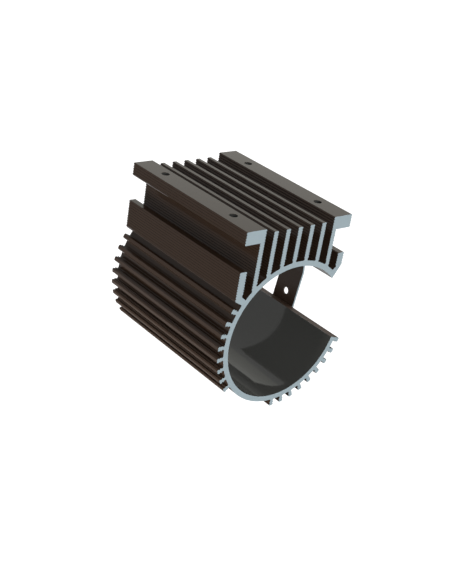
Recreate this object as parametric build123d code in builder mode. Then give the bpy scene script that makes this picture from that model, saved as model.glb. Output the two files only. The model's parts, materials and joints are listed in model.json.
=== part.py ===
"""Finned heat sink sleeve for a 42 mm class motor, with rails for a 40 mm fan.

One aluminium extrusion. The bore axis runs along Y with the origin at its middle, and +Z points to
the fan rails. The rails, the upright fins and the flanges share a middle plane beside the bore axis.
"""
import os
from math import acos, atan2, cos, degrees, dist, hypot, radians, sin, sqrt, tan

from build123d import *

# Sleeve
length = 53.4
bore_radius = 21.3
wall = 1.65
root_fillet = 0.4

# Fine ridges that run along the faces of every fin, rail and flange
ridge_pitch = 0.8
ridge_depth = 0.3

# Rails, webs and upright fins, placed from their own middle plane
rail_shift = -2.0
fan_width = 40.0
rail_rise = 1.2
rail_height = 4.0
upright_pitch = 4.55
upright_thickness = 1.78
upright_height = 10.95
fins_between_webs = 5

# Side flanges below the rails
flange_rise = 0.15
flange_thickness = 2.63
pocket_slope = 40.0
left_pocket_floor = 2.0
right_pocket_floor = 1.4
foot_drop = 1.2
foot_slope = 29.5

# Radial fins round the cradle
radial_fin_height = 2.2
radial_fin_thickness = 1.58
radial_fin_step = 9.0
left_fin_gap = 6.0
left_fin_count = 8
last_right_fin = -18.0
right_fin_count = 9

# Side opening, from the cradle's edge up to the right flange
cradle_edge_angle = -16.4
arch_inset = 0.52
arch_cut_angle = 56.7

# Strap that closes the opening at mid-length: a flat leg, then a bow up to the right flange
strap_width = 9.6
strap_thickness = 0.6
strap_tuck = 0.19
strap_angle = -8.4
strap_knee = 4.4
strap_hole_diameter = 2.3

# Tapped holes for the fan's screws
fan_hole_spacing = 32.0
fan_hole_diameter = 2.5

outer_radius = bore_radius + wall
tip_radius = outer_radius + radial_fin_height
fin_top = outer_radius + upright_height
rail_top = fin_top + rail_rise
flange_top = outer_radius + flange_rise
strap_distance = tip_radius - strap_tuck
half_upright = upright_thickness / 2 - ridge_depth
half_radial_fin = radial_fin_thickness / 2 - ridge_depth
outer_face = fan_width / 2 - ridge_depth
flange_inner_face = fan_width / 2 - flange_thickness + ridge_depth
web_middle = upright_pitch * (fins_between_webs + 1) / 2
sunk = wall / 2
ridge_slack = 0.01


def polar(radius, angle):
    """Point at a radius and an angle in degrees about the bore axis."""
    return (radius * cos(radians(angle)), radius * sin(radians(angle)))


def shell_height(x):
    """Height of the sleeve's outer surface above the bore axis, at a place across it."""
    return sqrt(max(outer_radius**2 - x**2, 0.0))


def into_sleeve(point):
    """Place in the middle of the sleeve's wall, under a point on its outer surface."""
    return tuple(value * (outer_radius - sunk) / outer_radius for value in point)


def ridged_face(start, outward, run, reach):
    """Whole ridges along a face, as many as its reach holds, then plain to its end."""
    ridges = int(reach / ridge_pitch + ridge_slack)
    points = [start]
    for index in range(ridges):
        crest = (index + 0.5) * ridge_pitch
        valley = (index + 1.0) * ridge_pitch
        points.append((start[0] + crest * run[0] + ridge_depth * outward[0],
                       start[1] + crest * run[1] + ridge_depth * outward[1]))
        points.append((start[0] + valley * run[0], start[1] + valley * run[1]))
    if reach / ridge_pitch - ridges < ridge_slack:
        points.pop()
    return points + [(start[0] + reach * run[0], start[1] + reach * run[1])]


def root_round(flank_point, outward, along):
    """Start on a flank, middle, and end on the sleeve of the round between the two.

    The flank holds the given point, looks outward, and runs along a direction away from the sleeve.
    """
    across = flank_point[0] * outward[0] + flank_point[1] * outward[1] + root_fillet
    reach = sqrt((outer_radius + root_fillet) ** 2 - across**2)
    centre = [across * o + reach * a for o, a in zip(outward, along)]
    to_flank = [-o for o in outward]
    to_sleeve = [-c / (outer_radius + root_fillet) for c in centre]
    halfway = [f + s for f, s in zip(to_flank, to_sleeve)]
    return [
        tuple(c + root_fillet * t / hypot(*toward) for c, t in zip(centre, toward))
        for toward in (to_flank, halfway, to_sleeve)
    ]


def flank(top, outward, along):
    """Points down a ridged flank from its top, and the round at its root."""
    root = root_round(top, outward, along)
    inward = (-along[0], -along[1])
    return ridged_face(top, outward, inward, dist(top, root[0])), root


def draw_fin(first_top, last_top, outward, along, crown=()):
    """Lines of a fin: down its first flank, through the sleeve, up its last, and over the crown."""
    first, first_root = flank(first_top, outward, along)
    last, last_root = flank(last_top, (-outward[0], -outward[1]), along)
    Polyline(*first)
    ThreePointArc(*first_root)
    Polyline(first_root[2], into_sleeve(first_root[2]), into_sleeve(last_root[2]), last_root[2])
    ThreePointArc(*last_root[::-1])
    Polyline(*last[::-1], *crown, first_top)


def draw_upright(middle):
    """Lines of an upright fin."""
    draw_fin((middle - half_upright, fin_top), (middle + half_upright, fin_top), (-1, 0), (0, 1))


def draw_rail(side):
    """Lines of a rail with the web under it; side is -1 for the left and 1 for the right."""
    middle = rail_shift + side * web_middle
    rail_side = ridged_face((rail_shift + side * outer_face, rail_top), (side, 0), (0, -1), rail_height)
    draw_fin(
        (middle - side * half_upright, rail_top),
        (middle + side * half_upright, rail_top - rail_height),
        (-side, 0),
        (0, 1),
        crown=rail_side[::-1],
    )


def draw_radial_fin(angle):
    """Lines of a radial fin."""
    along = polar(1, angle)
    outward = polar(1, angle - 90)
    tops = [
        (tip_radius * along[0] + side * half_radial_fin * outward[0],
         tip_radius * along[1] + side * half_radial_fin * outward[1])
        for side in (1, -1)
    ]
    draw_fin(*tops, outward, along)


def pocket_floor(side, floor):
    """Ends of the flat floor between a flange and the sleeve, on the flange and on the sleeve."""
    inner = rail_shift + side * flange_inner_face
    low_x = inner - side * floor * cos(radians(pocket_slope))
    low_z = shell_height(low_x)
    return (inner, low_z + floor * sin(radians(pocket_slope))), (low_x, low_z)


def draw_flange(side, floor, foot_corner, foot_end):
    """Lines of a flange: ridged faces, the flat floor of its pocket, and its sunk foot."""
    inner_top = (rail_shift + side * flange_inner_face, flange_top)
    outer_top = (rail_shift + side * outer_face, flange_top)
    high, low = pocket_floor(side, floor)
    inner_side = ridged_face(inner_top, (-side, 0), (0, -1), flange_top - high[1])
    outer_side = ridged_face(outer_top, (side, 0), (0, -1), flange_top - foot_corner[1])
    Polyline(*inner_side, low, into_sleeve(low), foot_end, *outer_side[::-1], inner_top)


# The left flange's foot slopes down to the sleeve, a little below the pocket.
left_foot_corner = (rail_shift - outer_face, pocket_floor(-1, left_pocket_floor)[0][1] - foot_drop)
foot_run = (cos(radians(foot_slope)), -sin(radians(foot_slope)))
foot_across = left_foot_corner[0] * foot_run[0] + left_foot_corner[1] * foot_run[1]
foot_reach = -foot_across - sqrt(foot_across**2 - hypot(*left_foot_corner) ** 2 + (outer_radius - sunk) ** 2)
left_foot_end = (left_foot_corner[0] + foot_reach * foot_run[0], left_foot_corner[1] + foot_reach * foot_run[1])
first_left_fin = degrees(atan2(left_foot_corner[1], left_foot_corner[0])) + left_fin_gap

# The opening's upper cut starts at the arch's tip, and the right flange runs down into it.
arch_x = rail_shift + flange_inner_face - arch_inset
arch_tip = (arch_x, sqrt(bore_radius**2 - arch_x**2))
cut_slope = tan(radians(arch_cut_angle))
right_foot_corner = (rail_shift + outer_face, arch_tip[1])
right_foot_end = polar(outer_radius - sunk, degrees(atan2(arch_tip[1], arch_tip[0])))
far = 2 * (fan_width + bore_radius)
cut_far = (arch_tip[0] + far, arch_tip[1] + far * cut_slope)
opening_corners = [(0, 0), polar(far / cos(radians(cradle_edge_angle)), cradle_edge_angle), cut_far, arch_tip]

with BuildPart() as heat_sink:
    with BuildSketch(Plane.XZ) as section:
        Circle(outer_radius)
        for side in (-1, 1):
            with BuildLine():
                draw_rail(side)
            make_face()
        for index in range(fins_between_webs):
            place = index - (fins_between_webs - 1) / 2
            with BuildLine():
                draw_upright(rail_shift + place * upright_pitch)
            make_face()
        left_angles = [first_left_fin + index * radial_fin_step for index in range(left_fin_count)]
        right_angles = [last_right_fin - index * radial_fin_step for index in range(right_fin_count)]
        for angle in left_angles + right_angles:
            with BuildLine():
                draw_radial_fin(angle)
            make_face()
        with BuildLine():
            draw_flange(-1, left_pocket_floor, left_foot_corner, left_foot_end)
        make_face()
        with BuildLine():
            draw_flange(1, right_pocket_floor, right_foot_corner, right_foot_end)
        make_face()
        shell = section.vertices().filter_by(lambda v: abs(hypot(v.X, v.Y) - outer_radius) < 0.001)
        foot_root = shell.sort_by_distance(left_foot_corner)[0]
        fillet(foot_root, root_fillet)
        # The last fin's upper flank is a flat, level with the cradle's edge.
        with BuildLine():
            Polyline(
                polar(outer_radius - sunk, cradle_edge_angle),
                polar(tip_radius - ridge_depth, cradle_edge_angle),
                polar(tip_radius, last_right_fin),
                polar(outer_radius - sunk, last_right_fin),
                close=True,
            )
        make_face()
        Circle(bore_radius, mode=Mode.SUBTRACT)
        with BuildLine():
            Polyline(*opening_corners, close=True)
        make_face(mode=Mode.SUBTRACT)
    extrude(amount=length / 2, both=True)

    # Strap: a leg tangent to the fin tips, and a bow that starts upright at the knee.
    leg = radians(strap_angle)
    knee_along = (strap_knee - strap_distance * sin(leg)) / cos(leg)
    knee = (strap_distance * cos(leg) - knee_along * sin(leg), strap_knee)
    bow_end_x = rail_shift + outer_face
    bow_end = (bow_end_x, arch_tip[1] + (bow_end_x - arch_tip[0]) * cut_slope)
    bow_width = knee[0] - bow_end[0]
    bow_height = bow_end[1] - knee[1]
    bow_radius = (bow_width**2 + bow_height**2) / (2 * bow_width)
    bow_centre = (knee[0] - bow_radius, knee[1])
    outer_bow = bow_radius + strap_thickness
    inner_end = degrees(atan2(bow_end[1] - bow_centre[1], bow_end[0] - bow_centre[0]))
    outer_start = strap_angle + degrees(acos((strap_thickness + bow_radius * cos(leg)) / outer_bow))
    outer_end = degrees(acos((bow_end[0] - bow_centre[0]) / outer_bow))
    foot_angle = last_right_fin - degrees(half_radial_fin / tip_radius)
    leg_foot = polar((strap_distance + strap_thickness) / cos(radians(foot_angle) - leg), foot_angle)
    leg_top = polar(strap_distance / cos(radians(cradle_edge_angle) - leg), cradle_edge_angle)
    with BuildSketch(Plane.XZ) as strap_section:
        with BuildLine():
            inner_arc = CenterArc(bow_centre, bow_radius, 0, inner_end)
            outer_arc = CenterArc(bow_centre, outer_bow, outer_start, outer_end - outer_start)
            inside_flange = (bow_end[0] - flange_thickness / 2, (inner_arc @ 1).Y + strap_thickness / 2)
            Polyline(inner_arc @ 1, inside_flange, outer_arc @ 1)
            Polyline(
                outer_arc @ 0,
                leg_foot,
                polar(tip_radius - sunk, foot_angle),
                polar(tip_radius - sunk, cradle_edge_angle),
                leg_top,
                inner_arc @ 0,
            )
        make_face()
    extrude(amount=strap_width / 2, both=True)

    # Holes: one radial through the strap's leg, four through the rails.
    strap_foot = polar(strap_distance, strap_angle)
    with Locations(Plane(origin=(strap_foot[0], 0, strap_foot[1]), z_dir=(cos(leg), 0, sin(leg)))):
        Hole(strap_hole_diameter / 2, depth=2 * strap_thickness)
    with Locations((rail_shift, 0, rail_top - rail_height / 2)):
        with GridLocations(fan_hole_spacing, fan_hole_spacing, 2, 2):
            Hole(fan_hole_diameter / 2, depth=rail_height)

os.makedirs("parts", exist_ok=True)
heat_sink.part.label = "heat_sink"
export_step(heat_sink.part, "parts/heat_sink.step")
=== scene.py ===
"""Motor heat sink: the finish of the anodised, bored and cut faces, and a pale studio."""

import json
from math import radians

import bpy
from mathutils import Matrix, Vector


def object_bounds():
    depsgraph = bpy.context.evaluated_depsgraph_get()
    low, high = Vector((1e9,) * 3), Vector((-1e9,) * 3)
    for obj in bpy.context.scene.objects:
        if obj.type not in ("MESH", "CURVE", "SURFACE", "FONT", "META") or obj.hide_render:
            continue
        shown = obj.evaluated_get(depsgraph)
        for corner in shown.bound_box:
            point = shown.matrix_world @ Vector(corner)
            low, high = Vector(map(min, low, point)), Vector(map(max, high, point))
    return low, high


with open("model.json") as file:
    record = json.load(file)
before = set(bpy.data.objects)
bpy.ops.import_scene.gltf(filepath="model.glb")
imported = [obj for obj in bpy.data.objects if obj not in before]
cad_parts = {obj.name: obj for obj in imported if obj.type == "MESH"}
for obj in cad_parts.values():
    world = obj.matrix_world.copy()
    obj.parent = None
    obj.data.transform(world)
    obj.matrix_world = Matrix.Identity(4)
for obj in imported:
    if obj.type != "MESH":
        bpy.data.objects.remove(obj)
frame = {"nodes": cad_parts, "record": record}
cad_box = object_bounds()

# The heat sink body.
# One aluminium extrusion with fine ridges along its fins, anodised a glossy dark brown that is
# more satin round the lower fins. The bore is polished, duller up in the arch; its neutral grey
# is a painted reflection of the room, and the fan holes' grey is painted shade on their drilled
# walls. The ends and the strap's edges are cut bare, and their pale blue-grey has bluish light
# from the front painted into it.
sink = frame["nodes"]["heat_sink"]
anodised_color = (0.048, 0.029, 0.019, 1.0)
# Neutral grey of the bore and fan holes: a painted reflection of the room in the bore, painted
# shade on the holes' drilled walls.
bore_reflection_and_hole_shade_color = (0.081, 0.082, 0.077, 1.0)
# Pale blue-grey of the cut ends and strap edges: bare metal with bluish light from the front
# painted in.
bare_and_painted_front_light_color = (0.385, 0.475, 0.515, 1.0)
glossy_roughness = 0.15
satin_roughness = 0.6
satin_below = -0.006
polished_roughness = 0.07
arch_roughness = 0.5
arch_above = 0.012
bore_coat = 0.2
bore_coat_roughness = 0.03
shine = 0.12

mounts = {mount["name"]: mount for mount in frame["record"]["mounts"]}
fan_holes = mounts["fan_holes"]
bore_radius = mounts["motor_bore"]["dims"]["r_mm"] / 1000
hole_radius = fan_holes["dims"]["hole_r_mm"] / 1000
hole_reach = fan_holes["dims"]["spacing_x_mm"] / 2 / 1000
hole_middle = fan_holes["pos_m"][0]
half_length = cad_box[1][1]
rail_top = cad_box[1][2]
half_strap = 0.0048
flange_top = 0.0231
square_on = 0.7
slack = 0.0001

finish = bpy.data.materials.new("anodised_aluminium")
finish.use_nodes = True
nodes = finish.node_tree.nodes
links = finish.node_tree.links
surface = nodes["Principled BSDF"]
place = nodes.new("ShaderNodeTexCoord")
where = nodes.new("ShaderNodeSeparateXYZ")
links.new(place.outputs["Object"], where.inputs[0])
facing = nodes.new("ShaderNodeSeparateXYZ")
links.new(place.outputs["Normal"], facing.inputs[0])
across, along, up = where.outputs


def feed(socket, value):
    """Sets a socket to a plain value, or links it to another node's output."""
    if isinstance(value, bpy.types.NodeSocket):
        links.new(value, socket)
    else:
        socket.default_value = value


def math_node(operation, *values):
    """Output of a math node in the node tree that is being built."""
    node = nodes.new("ShaderNodeMath")
    node.operation = operation
    for socket, value in zip(node.inputs, values):
        feed(socket, value)
    return node.outputs[0]


def blend(kind, first, second, factor):
    """Output that goes from the first value to the second by a factor."""
    node = nodes.new("ShaderNodeMix")
    node.data_type = kind
    feed(node.inputs["A"], first)
    feed(node.inputs["B"], second)
    feed(node.inputs["Factor"], factor)
    return node.outputs["Result"]


def ramp(value, low, high, at_low, at_high):
    """Output that goes from one level to another while a value goes from low to high."""
    node = nodes.new("ShaderNodeMapRange")
    node.inputs["From Min"].default_value = low
    node.inputs["From Max"].default_value = high
    node.inputs["To Min"].default_value = at_low
    node.inputs["To Max"].default_value = at_high
    feed(node.inputs["Value"], value)
    return node.outputs["Result"]


def near_axis(offsets, radius):
    """Output that is 1 inside a radius round an axis, given the two offsets from it."""
    squares = [math_node("MULTIPLY", offset, offset) for offset in offsets]
    return math_node("LESS_THAN", math_node("ADD", *squares), (radius + slack) ** 2)


from_middle = math_node("ABSOLUTE", along)
faces_along = math_node("GREATER_THAN", math_node("ABSOLUTE", facing.outputs["Y"]), square_on)
at_end = math_node("GREATER_THAN", from_middle, half_length - slack)
from_strap_edge = math_node("ABSOLUTE", math_node("SUBTRACT", from_middle, half_strap))
at_strap_edge = math_node("LESS_THAN", from_strap_edge, slack)
cut_face = math_node("MULTIPLY", faces_along, math_node("MAXIMUM", at_end, at_strap_edge))

bored = near_axis((across, up), bore_radius)
below_top = math_node("LESS_THAN", up, rail_top - slack)
in_rail = math_node("MULTIPLY", below_top, math_node("GREATER_THAN", up, flange_top))
for hole_x in (hole_middle - hole_reach, hole_middle + hole_reach):
    for hole_y in (-hole_reach, hole_reach):
        offsets = (math_node("SUBTRACT", across, hole_x), math_node("SUBTRACT", along, hole_y))
        in_hole = math_node("MULTIPLY", near_axis(offsets, hole_radius), in_rail)
        bored = math_node("MAXIMUM", bored, in_hole)

# Paints the bore's reflection and the fan holes' shade over the anodised brown.
anodised_with_painted_bore = blend("RGBA", anodised_color, bore_reflection_and_hole_shade_color, bored)
# Paints the cut faces as bare metal, with bluish front light painted into their colour.
feed(surface.inputs["Base Color"], blend("RGBA", anodised_with_painted_bore, bare_and_painted_front_light_color, cut_face))
outside = ramp(up, satin_below, 0.0, satin_roughness, glossy_roughness)
inside = ramp(up, 0.0, arch_above, polished_roughness, arch_roughness)
feed(surface.inputs["Roughness"], blend("FLOAT", outside, inside, bored))
feed(surface.inputs["Coat Weight"], math_node("MULTIPLY", bored, bore_coat))
surface.inputs["Coat Roughness"].default_value = bore_coat_roughness
surface.inputs["Specular IOR Level"].default_value = shine
for slot in sink.material_slots:
    slot.material = finish

# The floor.
# A plain matt grey sheet well under the part, which is held by its bore and rests on nothing.
# To the camera and to the metal's gloss it shows a full white.
floor_size = 6.0
floor_drop = 0.17
sheet_color = (0.2, 0.2, 0.2, 1.0)
shown_white = 1.1

bpy.ops.object.select_all(action="DESELECT")
floor_place = (0.0, 0.0, cad_box[0][2] - floor_drop)
bpy.ops.mesh.primitive_plane_add(size=floor_size, location=floor_place)
floor = bpy.context.active_object
floor.name = "studio_floor"
bpy.ops.object.transform_apply(location=True, rotation=True, scale=True)
sheet = bpy.data.materials.new("white_sheet")
sheet.use_nodes = True
nodes = sheet.node_tree.nodes
links = sheet.node_tree.links
surface = nodes["Principled BSDF"]
surface.inputs["Base Color"].default_value = sheet_color
surface.inputs["Roughness"].default_value = 0.9
surface.inputs["Specular IOR Level"].default_value = 0.0
surface.inputs["Emission Color"].default_value = (1.0, 1.0, 1.0, 1.0)


def seen_rays():
    """Output that is 1 for what the camera, gloss or glass sees, and 0 for light on the object."""
    path = nodes.new("ShaderNodeLightPath")
    seen = path.outputs["Is Camera Ray"]
    for kind in ("Is Glossy Ray", "Is Transmission Ray"):
        seen = math_node("MAXIMUM", seen, path.outputs[kind])
    return seen


feed(surface.inputs["Emission Strength"], math_node("MULTIPLY", seen_rays(), shown_white))
floor.data.materials.append(sheet)

# The light.
# A white room: an even, faint glow from all round, broad panels over and in front of the
# near end, a small one low on the left, as light comes off a table, and soft ones to the
# right, behind the part and beyond its far end.
room_glow = 0.1
broad = 0.7
small = 0.12

world = bpy.data.worlds.new("white_room")
bpy.context.scene.world = world
world.use_nodes = True
nodes = world.node_tree.nodes
links = world.node_tree.links
glow = nodes["Background"]
glow.inputs["Color"].default_value = (1.0, 1.0, 1.0, 1.0)
feed(glow.inputs["Strength"], ramp(seen_rays(), 0.0, 1.0, room_glow, 1.0))


def add_panel(name, location, size, power, tint=(1.0, 1.0, 1.0)):
    """A square soft light that faces the part."""
    lamp = bpy.data.lights.new(name, "AREA")
    lamp.shape = "SQUARE"
    lamp.size = size
    lamp.energy = power
    lamp.color = tint
    panel = bpy.data.objects.new(name, lamp)
    bpy.context.scene.collection.objects.link(panel)
    panel.location = location
    panel.rotation_euler = (-Vector(location)).to_track_quat("-Z", "Y").to_euler()


add_panel("overhead", (0.1, -0.7, 0.65), broad, 1.4)
add_panel("front", (-0.3, -0.9, 0.1), broad, 6.9)
add_panel("back", (0.58, 0.69, 0.45), broad, 0.56, (0.99, 1.0, 0.74))
add_panel("left", (-0.3, 0.0, -0.115), small, 0.59)
add_panel("right", (0.9, -0.1, 0.5), broad, 3.0)
add_panel("rear", (0.1, 0.95, 0.05), broad, 4.0)

# The camera.
# It looks down on the near end from the left, a little rolled, as the photograph was taken.
# Its place, turn and lens come from the bore's, the fins' and the rails' outlines.
camera_data = bpy.data.cameras.new("view")
camera_data.sensor_width = 36.0
camera_data.lens = 67.28
camera_data.clip_start = 0.01
camera = bpy.data.objects.new("view", camera_data)
bpy.context.scene.collection.objects.link(camera)
camera.location = (-0.20668, -0.22071, 0.1456)
camera.rotation_euler = (radians(64.01), radians(-8.71), radians(-38.75))
bpy.context.scene.camera = camera
bpy.context.scene.view_settings.view_transform = "Standard"
